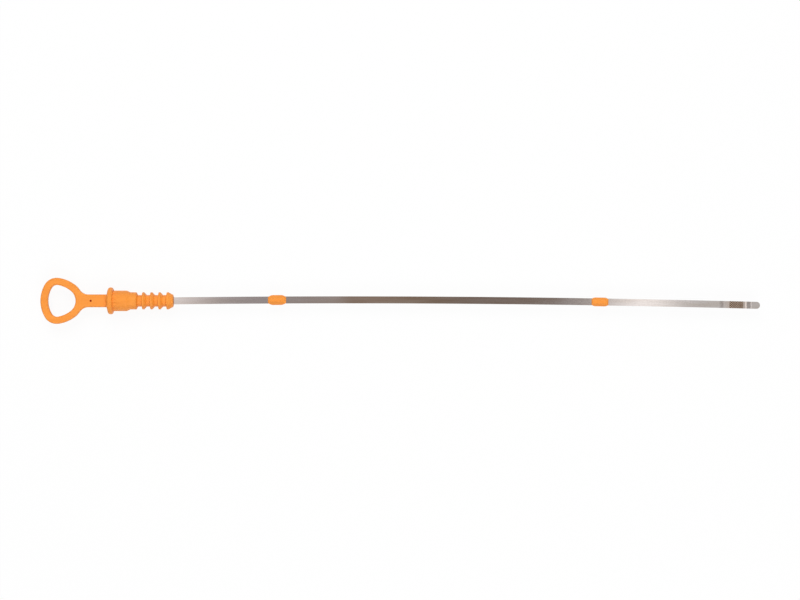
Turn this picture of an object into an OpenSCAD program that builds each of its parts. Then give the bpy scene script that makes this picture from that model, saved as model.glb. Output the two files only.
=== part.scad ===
// Engine oil dipstick. A spring steel blade is moulded into a pull handle that ends in a barbed
// tube plug, and two moulded beads guide the blade down its tube.
// The origin is on the plug's axis at its seating shoulder. X runs to the blade's tip, the blade's
// broad face looks up along Z, and the pull loop lies flat in the XY plane.

/* [Pull loop] */
// Length of the finger hole along the handle
hole_l = 19.7; // [17:0.1:24]
// Radius of the hole's bowed base
base_r = 18; // [16:0.1:40]
// Radius of the hole's two base corners
corner_r = 4.5; // [3:0.1:6]
// Distance of each base corner's centre from the axis
corner_y = 6.8; // [6:0.1:9]
// Radius of the hole's nose, next to the shank
neck_r = 9.1; // [7.5:0.1:10]
// Radius of the hole's gently bowed sides
side_r = 20; // [18:1:60]
// Width of the ring round the hole
ring_w = 5.2; // [4:0.1:7]
// Extra width of the ring at its base, where the finger pulls
ring_base_extra = 0.2; // [0.1:0.1:1.5]
// Thickness of the loop and shank
grip_t = 5; // [4:0.1:7]
// Radius of the loop's and shank's moulded edges
grip_edge_r = 1.3; // [0.5:0.1:1.8]

/* [Shank] */
// Distance from the finger hole to the flange
shank_l = 22.1; // [18:0.1:40]
// Width of the shank
shank_w = 9.2; // [7.5:0.1:12]
// Radius of the blend from the ring into the shank
neck_fillet_r = 7.5; // [6:0.5:14]
// Diameter of the pin mark in each face of the shank
pin_d = 1.5; // [1:0.1:2.5]
// Depth of the pin mark
pin_depth = 1.8; // [0.8:0.1:1.8]
// Distance from the flange to the pin mark
pin_from_flange = 11.1; // [6:0.1:15]

/* [Flange and barrel] */
// Diameter of the flange
flange_d = 19.2; // [17:0.1:24]
// Thickness of the flange at its rim
flange_t = 3.6; // [3:0.1:5]
// Radius of the two edges of the flange's rim
rim_r = 1.4; // [0.6:0.1:1.4]
// Lean of the flange's outer face from square, in degrees
flange_lean = 16; // [5:1:25]
// Diameter of the barrel
barrel_d = 14.7; // [13:0.1:16]
// Length of the barrel up to its taper
barrel_l = 9.8; // [7:0.1:16]
// Length of the taper down to the plug
taper_l = 2.5; // [1.5:0.1:6]
// Number of flutes round the barrel
flute_count = 12; // [8:1:14]
// Width of a flute at the flange
flute_w = 2.3; // [1:0.1:2.6]
// Depth of a flute at the flange
flute_depth = 0.4; // [0.2:0.05:0.6]
// Distance from the flange to the start of the flutes
flute_from_flange = 0.4; // [0.3:0.1:1.5]
// Distance from the end of the flutes to the taper
flute_from_taper = 1.4; // [0.8:0.1:3]

/* [Barbed plug] */
// Diameter of the plug's land and barbs
plug_d = 12.3; // [11:0.1:12.8]
// Length of the plain land behind the barbs
land_l = 4.3; // [2:0.1:8]
// Length of the step from the land down to the root
step_l = 1.1; // [0.5:0.1:1.5]
// Diameter of the root between the barbs
root_d = 8.3; // [7.4:0.1:9.5]
// Number of barbs
barb_count = 4; // [2:1:6]
// Distance from one barb to the next
barb_pitch = 5.8; // [5:0.1:9]
// Distance from the land's step to the first barb
barb_start = 3.9; // [2.5:0.1:8]
// Width of a barb's flat crest
crest_w = 0.8; // [0.3:0.1:1]
// Radius of the edges of a crest
crest_r = 0.35; // [0.2:0.05:0.45]
// Reach of a barb's steep back at the root
barb_back = 1.1; // [1:0.1:1.3]
// Reach of a barb's sloping front at the root
barb_front = 2.4; // [1.8:0.1:2.8]
// Length of the nose from the last barb to the plug's end
nose_l = 4.1; // [3:0.1:9]
// Diameter of the nose where it rounds over
nose_d = 9.7; // [9:0.1:10.5]
// Radius of the nose's rounded end
nose_r = 1.5; // [0.5:0.1:1.6]

/* [Blade] */
// Width of the blade
blade_w = 5; // [4:0.1:5.2]
// Thickness of the blade
blade_t = 0.8; // [0.6:0.05:1.2]
// Distance from the seating shoulder to the blade's tip
reach = 449.6; // [420:0.1:700]
// Radius of the blade's slight sideways bow
bow_r = 10900; // [10000:100:40000]
// Distance from the shoulder to the highest point of the bow
bow_peak = 155; // [120:1:200]
// Length of the tang beyond the pin marks
tang_end = 4; // [2.5:0.1:5]
// Diameter of the anchor hole that the handle's plastic fills
anchor_d = 2.4; // [1.5:0.1:3]
// Distance from the flange to the anchor hole, inside the barrel
anchor_from_flange = 6; // [4:0.1:8]

/* [Reading zone] */
// Distance from the tip to the middle of the low mark
low_mark_from_tip = 8.2; // [6:0.1:14]
// Distance between the middles of the low and full marks
mark_spacing = 19.3; // [19:0.1:40]
// Width of a mark's hollow along the blade
mark_w = 2.4; // [1:0.1:3.2]
// Depth of a mark's hollow
mark_depth = 0.15; // [0.05:0.01:0.2]
// Length of the crosshatched field
hatch_l = 9.8; // [6:0.1:12]
// Distance from the middle of the low mark to the crosshatched field
hatch_from_mark = 3.8; // [3:0.1:5]
// Spacing of the hatch along the blade
hatch_pitch = 1.7; // [1.4:0.1:2.4]
// Angle of the hatch grooves to the blade
hatch_angle = 40; // [35:1:50]
// Width of a hatch groove
hatch_w = 0.6; // [0.3:0.05:0.8]
// Depth of a hatch groove
hatch_depth = 0.18; // [0.08:0.02:0.24]

/* [Guide beads] */
// Distance from the shoulder to the middle of the upper bead
upper_bead_x = 104.7; // [60:0.1:200]
// Length of the upper bead
upper_bead_l = 12.9; // [11:0.1:20]
// Width of the upper bead
upper_bead_w = 7.1; // [6.2:0.1:8]
// Thickness of the upper bead
upper_bead_t = 6; // [4:0.1:7]
// Length over which the upper bead's ends draw in
upper_bead_end_l = 3.8; // [2:0.1:4.5]
// Distance from the shoulder to the middle of the lower bead
lower_bead_x = 335.3; // [240:0.1:390]
// Length of the lower bead
lower_bead_l = 11.9; // [9:0.1:18]
// Width of the lower bead
lower_bead_w = 6.3; // [5.9:0.1:8]
// Thickness of the lower bead
lower_bead_t = 5.6; // [4:0.1:7]
// Length over which the lower bead's ends draw in
lower_bead_end_l = 2.8; // [2:0.1:3.5]
// Width of the flat along the top and bottom of a bead
bead_flat_w = 2.3; // [1.5:0.1:3]
// Height of the flat along each side of a bead
bead_side_flat = 1.6; // [0.8:0.1:2]
// Width of a bead at its very ends, where the blade shows beside it
bead_end_w = 3.8; // [3:0.1:3.8]
// Wall left above the blade at a bead's ends
bead_end_cover = 1; // [0.5:0.1:1.4]

/* [Hidden] */
plastic = [0.98, 0.6, 0.26];
steel = [0.62, 0.6, 0.58];
round_fn = 96;
blend_fn = 64;
hole_fn = 48;
edge_fn = 16;
long_steps = 20;
base_steps = 12;
corner_steps = 10;
rim_steps = 8;
crest_steps = 4;
crest_back_a = 170;
crest_front_a = 35;
nose_a = 80;
tip_a = 87;
hub_step = 0.4;
cut_over = 1;

// Places along X, from the seating shoulder at 0
flange_face_x = -taper_l - barrel_l;
flange_mid_x = flange_face_x - flange_t / 2;
rim_back_x = flange_face_x - flange_t + rim_r;
rim_front_x = flange_face_x - rim_r;
rim_cr = flange_d / 2 - rim_r;
flange_tan_x = rim_back_x - rim_r * cos(flange_lean);
flange_tan_r = rim_cr + rim_r * sin(flange_lean);
flange_x = flange_tan_x - (flange_tan_r - shank_w / 2) * tan(flange_lean);
hub_r = grip_t / 2 + hub_step;
hub_x = flange_tan_x - (flange_tan_r - hub_r) * tan(flange_lean);
hole_x1 = flange_x - shank_l;
hole_x0 = hole_x1 - hole_l;
first_barb_x = land_l + step_l + barb_start;
last_barb_x = first_barb_x + (barb_count - 1) * barb_pitch;
plug_end_x = last_barb_x + nose_l;
pin_x = flange_x - pin_from_flange;
tang_x = pin_x - tang_end;
anchor_x = flange_x + anchor_from_flange;

// Centres and tangent angles of the finger hole's arcs
base_cx = hole_x0 + base_r;
corner_cx = base_cx - sqrt(pow(base_r - corner_r, 2) - pow(corner_y, 2));
neck_cx = hole_x1 - neck_r;
base_a = atan2(corner_y, corner_cx - base_cx);
span = norm([corner_cx - neck_cx, corner_y]);
span_x = (corner_cx - neck_cx) / span;
span_y = corner_y / span;
side_u = (pow(side_r - neck_r, 2) - pow(side_r - corner_r, 2) + span * span) / (2 * span);
side_v = sqrt(pow(side_r - neck_r, 2) - side_u * side_u);
side_c = [neck_cx + side_u * span_x - side_v * span_y, side_u * span_y + side_v * span_x];
neck_a = atan2(-side_c[1], neck_cx - side_c[0]);
side_a = atan2(corner_y - side_c[1], corner_cx - side_c[0]);

// The blade runs straight through the handle and bows from the plug's end to its tip
bow_rise = pow(plug_end_x - bow_peak, 2) / (2 * bow_r);
bow_steps = 60;
function bow_y(x) = x < plug_end_x ? 0 : bow_rise - pow(x - bow_peak, 2) / (2 * bow_r);
function bow_a(x) = x < plug_end_x ? 0 : -atan((x - bow_peak) / bow_r);
tip_cx = reach - blade_w / 2;

// Places of the reading marks
low_mark_x = reach - low_mark_from_tip;
full_mark_x = low_mark_x - mark_spacing;
hatch_x = low_mark_x - hatch_from_mark - hatch_l / 2;

// Points of an arc about c, with both ends
function arc(c, r, a0, a1, steps) =
    [for (i = [0:steps]) c + r * [cos(a0 + (a1 - a0) * i / steps), sin(a0 + (a1 - a0) * i / steps)]];

// Places children on the blade's centreline, in line with the bow
module at_blade(x) {
    translate([x, bow_y(x), 0]) rotate([0, 0, bow_a(x)]) children();
}

// Finger hole: a bowed base, two tight corners, gently bowed sides and a round nose
module hole_plan() {
    polygon(concat(
        arc([neck_cx, 0], neck_r, -neck_a, neck_a, long_steps),
        arc(side_c, side_r, neck_a, side_a, corner_steps),
        arc([corner_cx, corner_y], corner_r, side_a, base_a, corner_steps),
        arc([base_cx, 0], base_r, base_a, 360 - base_a, base_steps),
        arc([corner_cx, -corner_y], corner_r, 360 - base_a, 360 - side_a, corner_steps),
        arc([side_c[0], -side_c[1]], side_r, 360 - side_a, 360 - neck_a, corner_steps)));
}

// Outer edge of the ring, a little wider at the base
module ring_plan() {
    hull() {
        offset(delta = ring_w) hole_plan();
        translate([-ring_base_extra, 0]) offset(delta = ring_w) hole_plan();
    }
}

// Loop and shank seen from above
module grip_plan() {
    difference() {
        offset(r = -neck_fillet_r, $fn = blend_fn) offset(delta = neck_fillet_r) union() {
            ring_plan();
            translate([hole_x1, -shank_w / 2])
                square([flange_mid_x - hole_x1, shank_w]);
        }
        hole_plan();
    }
}

// Loop and shank with rounded edges
module grip() {
    translate([0, 0, grip_edge_r - grip_t / 2]) minkowski() {
        linear_extrude(grip_t - 2 * grip_edge_r) offset(delta = -grip_edge_r) grip_plan();
        sphere(grip_edge_r, $fn = edge_fn);
    }
}

// Outline of one barb, from its back to its front: [distance along the axis, radius]
function barb(x) = concat(
    [[x - barb_back, root_d / 2]],
    arc([x - crest_w / 2, plug_d / 2 - crest_r], crest_r, crest_back_a, 90, crest_steps),
    arc([x + crest_w / 2, plug_d / 2 - crest_r], crest_r, 90, crest_front_a, crest_steps));

// Half section of everything turned: flange, barrel, land, barbs and nose
turned_profile = concat(
    [[hub_x, 0], [hub_x, hub_r]],
    arc([rim_back_x, rim_cr], rim_r, 180 - flange_lean, 90, rim_steps),
    arc([rim_front_x, rim_cr], rim_r, 90, 0, rim_steps),
    [[flange_face_x, barrel_d / 2], [-taper_l, barrel_d / 2], [0, plug_d / 2],
     [land_l, plug_d / 2], [land_l + step_l, root_d / 2]],
    [for (i = [0:barb_count - 2])
        each concat(barb(first_barb_x + i * barb_pitch),
                    [[first_barb_x + i * barb_pitch + barb_front, root_d / 2]])],
    barb(last_barb_x),
    arc([plug_end_x - nose_r, nose_d / 2 - nose_r], nose_r, nose_a, 0, rim_steps),
    [[plug_end_x, 0]]);

// Turns a half section about the X axis
module turned(profile) {
    rotate([90, 0, 90]) rotate_extrude($fn = round_fn) polygon([for (p = profile) [p[1], p[0]]]);
}

// Cutter for the flutes, which run out before the taper
module flutes() {
    half_w = flute_w / 2;
    cutter_r = (half_w * half_w + flute_depth * flute_depth) / (2 * flute_depth);
    flute_l = barrel_l - flute_from_flange - flute_from_taper;
    run_out = atan(flute_depth / flute_l);
    for (i = [0:flute_count - 1])
        rotate([(i + 0.5) * 360 / flute_count, 0, 0])
            translate([flange_face_x + flute_from_flange, 0, barrel_d / 2 - flute_depth + cutter_r])
                intersection() {
                    rotate([0, 90 - run_out, 0])
                        cylinder(r = cutter_r, h = 3 * barrel_l, center = true, $fn = hole_fn);
                    translate([0, -cutter_r - cut_over, -cutter_r - cut_over])
                        cube([flute_l + cut_over, 2 * (cutter_r + cut_over), 2 * (cutter_r + cut_over)]);
                }
}

// Plan of the blade, with its bow and its full round tip
module blade_plan() {
    edge = [for (i = [0:bow_steps]) plug_end_x + (tip_cx - plug_end_x) * i / bow_steps];
    polygon(concat(
        [[tang_x, -blade_w / 2]],
        [for (x = edge) [x, bow_y(x) - blade_w / 2]],
        arc([tip_cx, bow_y(tip_cx)], blade_w / 2, -tip_a, tip_a, long_steps),
        [for (i = [bow_steps:-1:0]) [edge[i], bow_y(edge[i]) + blade_w / 2]],
        [[tang_x, blade_w / 2]]));
}

// Blind marks that the mould's pins leave over the tang, one in each face of the shank
module pin_marks() {
    both_faces() translate([pin_x, 0, grip_t / 2 - pin_depth])
        cylinder(d = pin_d, h = pin_depth + cut_over, $fn = hole_fn);
}

// The blade's strip with its anchor hole, before it is marked
module strip() {
    difference() {
        translate([0, 0, -blade_t / 2]) linear_extrude(blade_t) blade_plan();
        translate([anchor_x, 0, 0])
            cylinder(d = anchor_d, h = blade_t + 2 * cut_over, center = true, $fn = hole_fn);
    }
}

// Shallow hollow across one face of the blade, in line with the mark
module mark_cutter() {
    half_w = mark_w / 2;
    cutter_r = (half_w * half_w + mark_depth * mark_depth) / (2 * mark_depth);
    translate([0, 0, blade_t / 2 - mark_depth + cutter_r])
        rotate([90, 0, 0])
            cylinder(r = cutter_r, h = blade_w + 2 * cut_over, center = true, $fn = round_fn);
}

// Crossing V grooves on one face of the blade
module hatch_cutter() {
    sides = ceil((hatch_l / 2 + blade_w / 2 / tan(hatch_angle)) / hatch_pitch);
    flare = hatch_w / 2 / hatch_depth;
    top_w = hatch_w / 2 + flare * cut_over;
    intersection() {
        translate([-hatch_l / 2, -blade_w, 0]) cube([hatch_l, 2 * blade_w, blade_t + cut_over]);
        union() {
            for (i = [-sides:sides], side = [-1, 1])
                translate([i * hatch_pitch, 0, blade_t / 2])
                    rotate([0, 0, side * hatch_angle]) rotate([90, 0, 90])
                        linear_extrude(4 * blade_w, center = true)
                            polygon([[0, -hatch_depth], [top_w, cut_over], [-top_w, cut_over]]);
        }
    }
}

// Repeats children on the blade's top and bottom faces
module both_faces() {
    children();
    mirror([0, 0, 1]) children();
}

// Half width of a bead's outline at distance u into its drawn-in end
function drawn_in(full, drop, end_l, u) =
    let (r = (end_l * end_l + drop * drop) / (2 * drop))
    full - r + sqrt(r * r - u * u);

// Outline of a bead with drawn-in ends: half length, half width, half width at the ends
// and the length over which they draw in
module bead_outline(half_l, full, end, end_l) {
    curve = [for (i = [0:rim_steps])
        [half_l - end_l + end_l * i / rim_steps,
         drawn_in(full, full - end, end_l, end_l * i / rim_steps)]];
    back = [for (i = [rim_steps:-1:0]) curve[i]];
    polygon(concat(
        curve,
        [for (p = back) [p[0], -p[1]]],
        [for (p = curve) [-p[0], -p[1]]],
        [for (p = back) [-p[0], p[1]]]));
}

// Moulded bead on the blade: flats along it, drawn-in ends, and a slot that the blade fills
module bead(x, l, w, t, end_l) {
    difference() {
        at_blade(x) intersection() {
            linear_extrude(2 * t, center = true)
                bead_outline(l / 2, w / 2, bead_end_w / 2, end_l);
            rotate([90, 0, 0]) linear_extrude(2 * w, center = true)
                bead_outline(l / 2, t / 2, blade_t / 2 + bead_end_cover, end_l);
            rotate([90, 0, 90]) linear_extrude(2 * l, center = true) polygon([
                for (sx = [1, -1], corner = sx > 0 ? [0:3] : [3:-1:0])
                    let (across = corner == 0 || corner == 3 ? bead_flat_w / 2 : w / 2,
                         up = corner < 2 ? 1 : -1,
                         high = corner == 0 || corner == 3 ? t / 2 : bead_side_flat / 2)
                    [sx * across, up * high]]);
        }
        strip();
    }
}

module handle() {
    color(plastic) difference() {
        union() {
            grip();
            turned(turned_profile);
        }
        flutes();
        strip();
        pin_marks();
    }
}

module blade() {
    color(steel) difference() {
        strip();
        both_faces() {
            at_blade(low_mark_x) mark_cutter();
            at_blade(full_mark_x) mark_cutter();
            at_blade(hatch_x) hatch_cutter();
        }
    }
}

module upper_guide_bead() {
    color(plastic)
        bead(upper_bead_x, upper_bead_l, upper_bead_w, upper_bead_t, upper_bead_end_l);
}

module lower_guide_bead() {
    color(plastic)
        bead(lower_bead_x, lower_bead_l, lower_bead_w, lower_bead_t, lower_bead_end_l);
}

handle();
blade();
upper_guide_bead();
lower_guide_bead();
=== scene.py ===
"""Looks of the engine oil dipstick: moulded orange plastic, rolled spring steel and a white studio."""

import bpy
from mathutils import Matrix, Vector


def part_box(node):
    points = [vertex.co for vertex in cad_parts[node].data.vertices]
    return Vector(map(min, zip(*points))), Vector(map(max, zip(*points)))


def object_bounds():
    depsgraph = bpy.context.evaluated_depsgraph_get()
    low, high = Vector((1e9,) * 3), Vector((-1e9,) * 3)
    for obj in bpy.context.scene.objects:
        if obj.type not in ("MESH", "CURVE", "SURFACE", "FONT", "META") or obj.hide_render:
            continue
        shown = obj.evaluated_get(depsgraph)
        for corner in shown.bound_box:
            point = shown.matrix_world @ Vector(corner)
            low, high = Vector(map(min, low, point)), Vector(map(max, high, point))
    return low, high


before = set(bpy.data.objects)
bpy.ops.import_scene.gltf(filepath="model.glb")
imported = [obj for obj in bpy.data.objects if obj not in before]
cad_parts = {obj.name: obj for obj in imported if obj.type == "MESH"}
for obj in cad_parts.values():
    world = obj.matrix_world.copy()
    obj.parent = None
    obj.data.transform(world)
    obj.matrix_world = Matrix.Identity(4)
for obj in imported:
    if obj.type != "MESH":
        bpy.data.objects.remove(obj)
cad_box = [list(corner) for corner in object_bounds()]

MM = 0.001

# The photograph's frame: one of its pixels spans this much of the plane of the blade
PIXEL = 0.7143 * MM
FRAME_WIDTH = 800
CAMERA_HEIGHT = 1500 * MM
SENSOR = 36.0
# Middle of the photograph, measured from the plug's shoulder along the axis
VIEW_CENTRE = (192.5 * MM, 0.6 * MM)

# Places along the axis, from the shoulder, as in the part's source
TIP_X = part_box("blade")[1].x
LOW_MARK_X = TIP_X - 8.2 * MM
FULL_MARK_X = LOW_MARK_X - 19.3 * MM
HATCH_END_X = LOW_MARK_X - 3.8 * MM
HATCH_START_X = HATCH_END_X - 9.8 * MM
HATCH_MIDDLE_X = (HATCH_START_X + HATCH_END_X) / 2
HATCH_HALF_L = (HATCH_END_X - HATCH_START_X) / 2
MARK_HALF_L = 1.2 * MM
PIN_X = -28.09 * MM
BLADE_HALF_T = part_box("blade")[1].z

# Painted shade in the two blind pin marks: a darker orange within this distance of their axis, and this
# far from the parting plane
PIN_REACH = 0.78 * MM
PIN_TOP = 2.45 * MM

# Temper colour in the middle of the blade, and the fading tint beside the hatch
TEMPER_X = 229 * MM
TEMPER_HALF_L = 70 * MM
TEMPER_EDGE = 16 * MM
TEMPER_SHARE = (0.25, 0.6)
TINT_EDGE = 5 * MM

# Stain in the marks, a little nearer the tip in the low one and fainter in the full one
STAIN_SHIFT = 0.1 * MM
STAIN_EDGE = 0.4 * MM
STAIN_SHARE = 0.54
FULL_MARK_SHARE = 0.65

# The hatch's grooves are oxidised from this depth
GROOVE_DEPTH = 0.03 * MM

# Lips beside the low mark: where each one climbs, from the mark's middle, and the second one's share
LIP_BEFORE = (-2.75 * MM, -0.95 * MM)
LIP_AFTER = (1.55 * MM, 2.15 * MM)
LIP_AFTER_SHARE = 0.38

# Roughness: smooth to rough across each finish, and what stained and grooved steel adds
PLASTIC_ROUGHNESS = (0.40, 0.52)
STEEL_ROUGHNESS = (0.07, 0.12)
STAIN_ROUGHNESS = 0.4
GROOVE_ROUGHNESS = 0.3

# Noise scales, in turns per metre, with one for each axis where the pattern runs lengthwise
FLOW_SCALE = (60, 260, 260)
SPARK_SCALE = 5200
WAVE_SCALE = 340
MOTTLE_SCALE = 900
BRUSH_SCALE = (120, 9000, 9000)
DRIFT_SCALE = (26, 300, 300)

# The part of a noise's range that a finish uses
PLASTIC_SPAN = (0.3, 0.7)
BRUSH_SPAN = (0.25, 0.75)
DRIFT_SPAN = (0.35, 0.65)
TEMPER_SPAN = (0.2, 0.8)

# Bump: strength, and height of the relief
SPARK_RELIEF = (0.10, 0.05 * MM)
WAVE_RELIEF = (0.25, 0.05 * MM)
BRUSH_RELIEF = (0.18, 0.02 * MM)
LIP_RELIEF = (1.0, 0.053 * MM)

# The studio in metres. The lamps' places are counted from the middle of the view, their power in watts.
FLOOR_SIZE = 8.0
CARD_LENGTH = 2.6
CARD_DEPTH = 1.6
LAMP_SIZE = 1.2
KEY_PLACE = (-0.2, 1.1, 1.55)
KEY_POWER = 20.4
FILL_PLACE = (0.3, -1.2, 1.5)
FILL_POWER = 15.6

# Strength of plain white, the world's light on the object, and the floor's own glow in the background
WHITE_LEVEL = 1.0
WORLD_LIGHT = 0.45
FLOOR_GLOW = 0.92

# Linear colours
ORANGE = (0.865, 0.296, 0.037, 1)
ORANGE_DEEP = (0.82, 0.264, 0.029, 1)
# Painted shade for the walls and floor of the pin marks
ORANGE_PAINTED_SHADE = (0.70, 0.08, 0.001, 1)
STEEL = (0.62, 0.605, 0.60, 1)
STEEL_WARM = (0.575, 0.545, 0.52, 1)
STEEL_TINTED = (0.60, 0.54, 0.503, 1)
TEMPER_BROWN = (0.325, 0.215, 0.13, 1)
STAIN = (0.23, 0.20, 0.18, 1)
OXIDE_FILM = (0.78, 0.70, 0.62, 1)
OXIDE_DEEP = (0.155, 0.083, 0.041, 1)
WHITE = (1, 1, 1, 1)
MATT_WHITE = (0.86, 0.86, 0.86, 1)


def make_camera():
    """Camera straight above the blade, as in the photograph."""
    data = bpy.data.cameras.new("camera")
    data.sensor_width = SENSOR
    data.lens = SENSOR * CAMERA_HEIGHT / (FRAME_WIDTH * PIXEL)
    data.clip_start = 0.01
    camera = bpy.data.objects.new("camera", data)
    camera.location = (*VIEW_CENTRE, CAMERA_HEIGHT)
    bpy.context.scene.collection.objects.link(camera)
    bpy.context.scene.camera = camera


class Shader:
    """A material's node tree, with short calls for the nodes that the finishes share."""

    def __init__(self, name):
        self.material = bpy.data.materials.new(name)
        self.material.use_nodes = True
        self.tree = self.material.node_tree
        self.tree.nodes.clear()

    def node(self, kind, inputs=None, **settings):
        """A new node, with each input linked to a socket or set to a value."""
        n = self.tree.nodes.new(kind)
        for key, value in settings.items():
            setattr(n, key, value)
        for key, value in (inputs or {}).items():
            if isinstance(value, bpy.types.NodeSocket):
                self.tree.links.new(value, n.inputs[key])
            else:
                n.inputs[key].default_value = value
        return n

    def math(self, operation, a, b=0.0):
        return self.node("ShaderNodeMath", {0: a, 1: b}, operation=operation).outputs[0]

    def noise(self, vector, scale, detail=3.0, roughness=0.5):
        inputs = {"Vector": vector, "Scale": scale, "Detail": detail, "Roughness": roughness}
        return self.node("ShaderNodeTexNoise", inputs).outputs["Fac"]

    def stretched(self, vector, scale):
        return self.node("ShaderNodeMapping", {"Vector": vector, "Scale": scale}).outputs[0]

    def ramp(self, value, low, high, out_low=0.0, out_high=1.0):
        """Eases from out_low to out_high while the value goes from low to high."""
        inputs = {"Value": value, "From Min": low, "From Max": high,
                  "To Min": out_low, "To Max": out_high}
        return self.node("ShaderNodeMapRange", inputs, interpolation_type="SMOOTHSTEP").outputs[0]

    def mix(self, factor, a, b):
        n = self.node("ShaderNodeMix", data_type="RGBA", clamp_factor=True)
        for socket, value in ((n.inputs["Factor"], factor), (n.inputs[6], a), (n.inputs[7], b)):
            if isinstance(value, bpy.types.NodeSocket):
                self.tree.links.new(value, socket)
            else:
                socket.default_value = value
        return n.outputs[2]

    def band(self, value, middle, half, soft):
        """One within half of the middle, falling to nothing over the soft margin."""
        away = self.math("ABSOLUTE", self.math("SUBTRACT", value, middle))
        return self.ramp(away, half + soft, half)

    def bump(self, height, strength, distance, normal=None):
        inputs = {"Height": height, "Strength": strength, "Distance": distance}
        if normal is not None:
            inputs["Normal"] = normal
        return self.node("ShaderNodeBump", inputs).outputs[0]

    def finish(self, surface):
        self.node("ShaderNodeOutputMaterial", {"Surface": surface})
        return self.material


def plastic_material():
    """Satin moulded plastic: faint flow marks, a fine spark grain, slight mottling, and painted shade
    in the pin marks.
    """
    s = Shader("orange_plastic")
    place = s.node("ShaderNodeTexCoord").outputs["Object"]
    flow = s.noise(s.stretched(place, FLOW_SCALE), 1.0, 4.0)
    grain = s.noise(place, SPARK_SCALE, 2.0)
    waves = s.noise(place, WAVE_SCALE, 2.0)
    colour = s.mix(s.ramp(flow, *PLASTIC_SPAN), ORANGE, ORANGE_DEEP)

    # Painted shade on the walls and floor of the two blind pin marks, below the faces of the shank: a
    # darker orange stands in for their shadow
    axes = s.node("ShaderNodeSeparateXYZ", {0: place}).outputs
    flat = s.node("ShaderNodeCombineXYZ", {"X": axes["X"], "Y": axes["Y"]}).outputs[0]
    from_pin = s.node("ShaderNodeVectorMath", {0: flat, 1: (PIN_X, 0, 0)}, operation="DISTANCE")
    near_pin = s.math("LESS_THAN", from_pin.outputs["Value"], PIN_REACH)
    below_face = s.math("LESS_THAN", s.math("ABSOLUTE", axes["Z"]), PIN_TOP)
    colour = s.mix(s.math("MULTIPLY", near_pin, below_face), colour, ORANGE_PAINTED_SHADE)

    roughness = s.ramp(s.noise(place, MOTTLE_SCALE, 3.0), *PLASTIC_SPAN, *PLASTIC_ROUGHNESS)
    normal = s.bump(grain, *SPARK_RELIEF, s.bump(waves, *WAVE_RELIEF))
    shader = s.node("ShaderNodeBsdfPrincipled", {
        "Base Color": colour, "Roughness": roughness, "Normal": normal,
        "IOR": 1.48, "Specular IOR Level": 0.45})
    return s.finish(shader.outputs[0])


def steel_material():
    """Rolled spring steel: lengthwise brushing, temper colour, stained marks and oxide in the hatch."""
    s = Shader("blade_steel")
    place = s.node("ShaderNodeTexCoord").outputs["Object"]
    axes = s.node("ShaderNodeSeparateXYZ", {0: place}).outputs
    along, up = axes["X"], axes["Z"]

    brushing = s.noise(s.stretched(place, BRUSH_SCALE), 1.0, 5.0, 0.6)
    drift = s.noise(s.stretched(place, DRIFT_SCALE), 1.0, 3.0)
    colour = s.mix(s.ramp(drift, *DRIFT_SPAN), STEEL, STEEL_WARM)

    temper_band = s.band(along, TEMPER_X, TEMPER_HALF_L, TEMPER_EDGE)
    temper = s.math("MULTIPLY", temper_band, s.ramp(drift, *TEMPER_SPAN, *TEMPER_SHARE))
    colour = s.mix(temper, colour, TEMPER_BROWN)

    # Warm tint on both sides of the hatch
    colour = s.mix(s.band(along, HATCH_MIDDLE_X, HATCH_HALF_L, TINT_EDGE), colour, STEEL_TINTED)

    low_mark = s.band(along, LOW_MARK_X + STAIN_SHIFT, MARK_HALF_L, STAIN_EDGE)
    full_mark = s.math("MULTIPLY", s.band(along, FULL_MARK_X, MARK_HALF_L, STAIN_EDGE), FULL_MARK_SHARE)
    marks = s.math("ADD", low_mark, full_mark)
    colour = s.mix(s.math("MULTIPLY", marks, STAIN_SHARE), colour, STAIN)

    # Oxide darkens the hatch's grooves and films the lands between them
    in_field = s.math("MULTIPLY", s.math("GREATER_THAN", along, HATCH_START_X),
                      s.math("LESS_THAN", along, HATCH_END_X))
    depth = s.math("SUBTRACT", BLADE_HALF_T, s.math("ABSOLUTE", up))
    grooved = s.math("MULTIPLY", in_field, s.ramp(depth, 0.0, GROOVE_DEPTH))
    colour = s.mix(in_field, colour, s.mix(grooved, OXIDE_FILM, OXIDE_DEEP))

    dulled = s.math("ADD", s.math("MULTIPLY", grooved, GROOVE_ROUGHNESS),
                    s.math("MULTIPLY", marks, STAIN_ROUGHNESS))
    roughness = s.math("ADD", s.ramp(brushing, *BRUSH_SPAN, *STEEL_ROUGHNESS), dulled)

    from_low_mark = s.math("SUBTRACT", along, LOW_MARK_X)
    lips = s.math("ADD", s.ramp(from_low_mark, *LIP_BEFORE),
                  s.ramp(from_low_mark, *LIP_AFTER, 0.0, LIP_AFTER_SHARE))
    normal = s.bump(brushing, *BRUSH_RELIEF, s.bump(lips, *LIP_RELIEF))
    shader = s.node("ShaderNodeBsdfPrincipled", {
        "Base Color": colour, "Metallic": 1.0, "Roughness": roughness, "Normal": normal})
    return s.finish(shader.outputs[0])


def dress(node, material):
    """Gives a CAD node its finish."""
    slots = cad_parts[node].data.materials
    slots.clear()
    slots.append(material)


def flat_card(name, width, depth, place):
    """A horizontal rectangle of the studio, centred on place."""
    x, y = width / 2, depth / 2
    mesh = bpy.data.meshes.new(name)
    mesh.from_pydata([(-x, -y, 0), (x, -y, 0), (x, y, 0), (-x, y, 0)], [], [(0, 1, 2, 3)])
    card = bpy.data.objects.new(name, mesh)
    card.location = place
    bpy.context.scene.collection.objects.link(card)
    return card


def background_rays(tree):
    """One for the rays that show the background: from the camera, off gloss and through glass."""
    rays = tree.nodes.new("ShaderNodeLightPath").outputs
    shown = rays["Is Camera Ray"]
    for kind in ("Is Glossy Ray", "Is Transmission Ray"):
        either = tree.nodes.new("ShaderNodeMath")
        either.operation = "MAXIMUM"
        tree.links.new(shown, either.inputs[0])
        tree.links.new(rays[kind], either.inputs[1])
        shown = either.outputs[0]
    return shown


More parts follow.
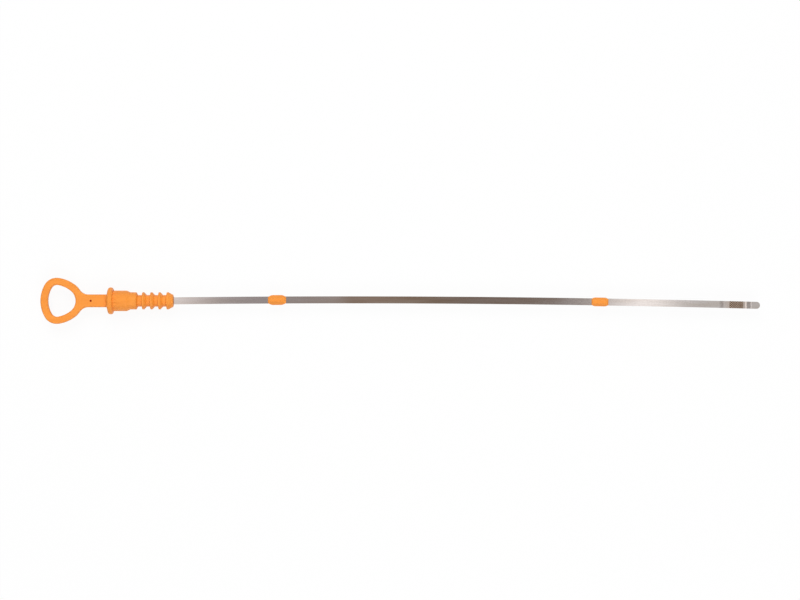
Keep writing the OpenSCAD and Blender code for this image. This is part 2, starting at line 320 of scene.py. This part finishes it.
def floor_material():
    """White floor: it glows evenly for the camera and for gloss, and still takes a soft shadow."""
    s = Shader("white_floor")
    seen = background_rays(s.tree)
    glow = s.node("ShaderNodeEmission", {"Color": WHITE, "Strength": WHITE_LEVEL})
    matt = s.node("ShaderNodeBsdfDiffuse", {"Color": MATT_WHITE})
    share = s.math("MULTIPLY", seen, FLOOR_GLOW)
    mixed = s.node("ShaderNodeMixShader", {0: share, 1: matt.outputs[0], 2: glow.outputs[0]})
    return s.finish(mixed.outputs[0])


# The card over the bench, as the steel reflects it: distance from the camera's axis along X, colour
OVERHEAD = (
    (-330 * MM, (1.25, 1.15, 1.12)),
    (-250 * MM, (0.45, 0.40, 0.40)),
    (-100 * MM, (0.45, 0.39, 0.37)),
    (-50 * MM, (0.46, 0.36, 0.30)),
    (40 * MM, (0.41, 0.35, 0.30)),
    (75 * MM, (0.32, 0.26, 0.23)),
    (240 * MM, (0.38, 0.34, 0.33)),
    (270 * MM, (0.50, 0.45, 0.44)),
    (345 * MM, (1.65, 1.55, 1.50)),
    (375 * MM, (1.65, 1.55, 1.50)),
    (390 * MM, (0.65, 0.62, 0.60)),
    (465 * MM, (0.80, 0.76, 0.73)),
    (505 * MM, (0.70, 0.66, 0.63)),
)


def overhead_material():
    """Glow of the card over the bench, in bands along X."""
    s = Shader("overhead_card")
    place = s.node("ShaderNodeTexCoord").outputs["Object"]
    along = s.node("ShaderNodeSeparateXYZ", {0: place}).outputs["X"]
    first, last = OVERHEAD[0][0], OVERHEAD[-1][0]
    level = s.node("ShaderNodeMapRange", {"Value": along, "From Min": first, "From Max": last})
    bands = s.node("ShaderNodeValToRGB", {0: level.outputs[0]})
    stops = bands.color_ramp.elements
    while len(stops) < len(OVERHEAD):
        stops.new(0.5)
    for stop, (x, colour) in zip(stops, OVERHEAD):
        stop.position = (x - first) / (last - first)
        stop.color = (*colour, 1)
    glow = s.node("ShaderNodeEmission", {"Color": bands.outputs[0], "Strength": WHITE_LEVEL})
    return s.finish(glow.outputs[0])


def make_studio():
    """White floor under the flange's rim, a card overhead, a soft key and fill, and a white world."""
    floor_z = cad_box[0][2]
    floor = flat_card("floor", FLOOR_SIZE, FLOOR_SIZE, (VIEW_CENTRE[0], 0, floor_z))
    floor.data.materials.append(floor_material())

    card = flat_card("overhead_card", CARD_LENGTH, CARD_DEPTH, (VIEW_CENTRE[0], 0, CAMERA_HEIGHT))
    card.data.materials.append(overhead_material())
    card.visible_camera = False
    card.visible_diffuse = False
    card.visible_shadow = False

    def lamp(name, place, power):
        data = bpy.data.lights.new(name, "AREA")
        data.shape = "SQUARE"
        data.size = LAMP_SIZE
        data.energy = power
        light = bpy.data.objects.new(name, data)
        light.location = (VIEW_CENTRE[0] + place[0], place[1], place[2])
        light.rotation_euler = (-Vector(place)).to_track_quat("-Z", "Y").to_euler()
        light.visible_glossy = False
        bpy.context.scene.collection.objects.link(light)

    lamp("key_lamp", KEY_PLACE, KEY_POWER)
    lamp("fill_lamp", FILL_PLACE, FILL_POWER)

    world = bpy.data.worlds.new("studio")
    world.use_nodes = True
    tree = world.node_tree
    background = tree.nodes["Background"]
    background.inputs["Color"].default_value = WHITE
    level = tree.nodes.new("ShaderNodeMapRange")
    level.inputs["To Min"].default_value = WORLD_LIGHT
    level.inputs["To Max"].default_value = WHITE_LEVEL
    tree.links.new(background_rays(tree), level.inputs["Value"])
    tree.links.new(level.outputs[0], background.inputs["Strength"])
    bpy.context.scene.world = world


bpy.context.scene.view_settings.view_transform = "Standard"
make_camera()
make_studio()

plastic = plastic_material()
for moulding in ("handle", "upper_guide_bead", "lower_guide_bead"):
    dress(moulding, plastic)
dress("blade", steel_material())
